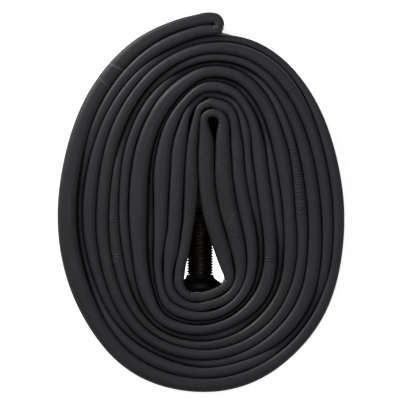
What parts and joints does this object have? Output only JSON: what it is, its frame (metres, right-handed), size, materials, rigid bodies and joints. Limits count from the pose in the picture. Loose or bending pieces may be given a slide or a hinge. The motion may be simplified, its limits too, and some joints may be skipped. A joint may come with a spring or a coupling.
{
  "type": "inner tube",
  "caption": "Flat-pressed rubber bicycle inner tube rolled up around its valve, with a threaded brass stem, screw cap, rim nut and sprung valve core.",
  "frame": {"origin": "centre of the footprint's bounding box, on the plane the roll's lower edges rest on", "axes": "+Z along the roll's axis, +Y along the roll's long diameter and the way the valve stem points, +X to the right of the stem seen from above"},
  "size_m": [0.081, 0.107, 0.044],
  "materials": {
    "butyl_rubber": "satin black butyl with a faint haze of talc",
    "valve_rubber": "moulded black rubber, matt",
    "stem_brass": "dull browned brass, rolled thread",
    "nut_black": "black-finished metal, knurled",
    "cap_plastic": "ribbed black moulding",
    "seal_rubber": "plain soft rubber",
    "core_brass": "turned bright brass",
    "core_steel": "drawn wire"
  },
  "bodies": {
    "root": {"inner_tube": "butyl_rubber", "valve_base": "valve_rubber", "valve_stem": "stem_brass", "core_plug": "core_brass", "core_barrel": "core_brass", "barrel_gasket": "seal_rubber", "core_spring": "core_steel"},
    "cap_seal": {"cap_gasket": "seal_rubber"},
    "cap": {"dust_cap": "cap_plastic"},
    "nut": {"rim_nut": "nut_black"},
    "pin": {"core_pin": "core_steel", "pin_collar": "core_brass", "seal_cup": "core_brass", "seat_seal": "seal_rubber"}
  },
  "joints": [
    {"name": "cap_travel", "type": "slide", "parent": "root", "child": "cap_seal", "axis": [0, 1, 0], "range_m": [0, 0.00556]},
    {"name": "cap_turn", "type": "hinge", "parent": "cap_seal", "child": "cap", "pos_m": [-0.00027, 0.00717, 0.022], "axis": [0, 1, 0], "range_deg": [0, 2520]},
    {"name": "nut_travel", "type": "slide", "parent": "root", "child": "nut", "axis": [0, 1, 0], "range_m": [-0.0145, 0]},
    {"name": "pin_press", "type": "slide", "parent": "root", "child": "pin", "axis": [0, 1, 0], "range_m": [-0.0012, 0], "stiffness_N_per_m": 60, "springref_m": 0.002, "deforming": ["core_spring"]}
  ],
  "couplings": [
    {"joint": "cap_turn", "follows": "cap_travel", "rad_per_m": 7913.3}
  ]
}
